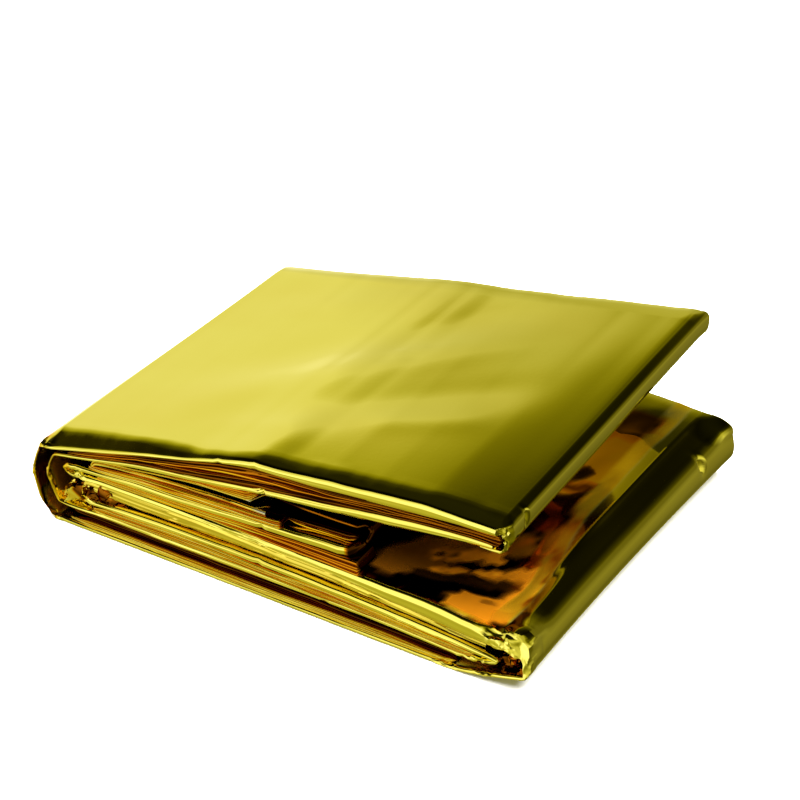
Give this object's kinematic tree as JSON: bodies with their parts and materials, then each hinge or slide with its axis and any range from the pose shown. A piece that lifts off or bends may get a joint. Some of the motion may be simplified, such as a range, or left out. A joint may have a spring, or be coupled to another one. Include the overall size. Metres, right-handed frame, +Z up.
{
  "type": "emergency foil blanket",
  "caption": "Emergency blanket of thin gold metallised film, folded into a flat pack that lies a little open like a booklet.",
  "frame": {"origin": "centre of the box around the folded pack, on the surface that it lies on", "axes": "+X along the pack from its closed spine to its open end, +Y across it from the front long side to the back one, +Z up"},
  "size_m": [0.1338, 0.1003, 0.0414],
  "materials": {
    "gold_film": "mirror gold metallised film"
  },
  "bodies": {
    "root": {"foil_blanket": "gold_film"}
  },
  "joints": []
}
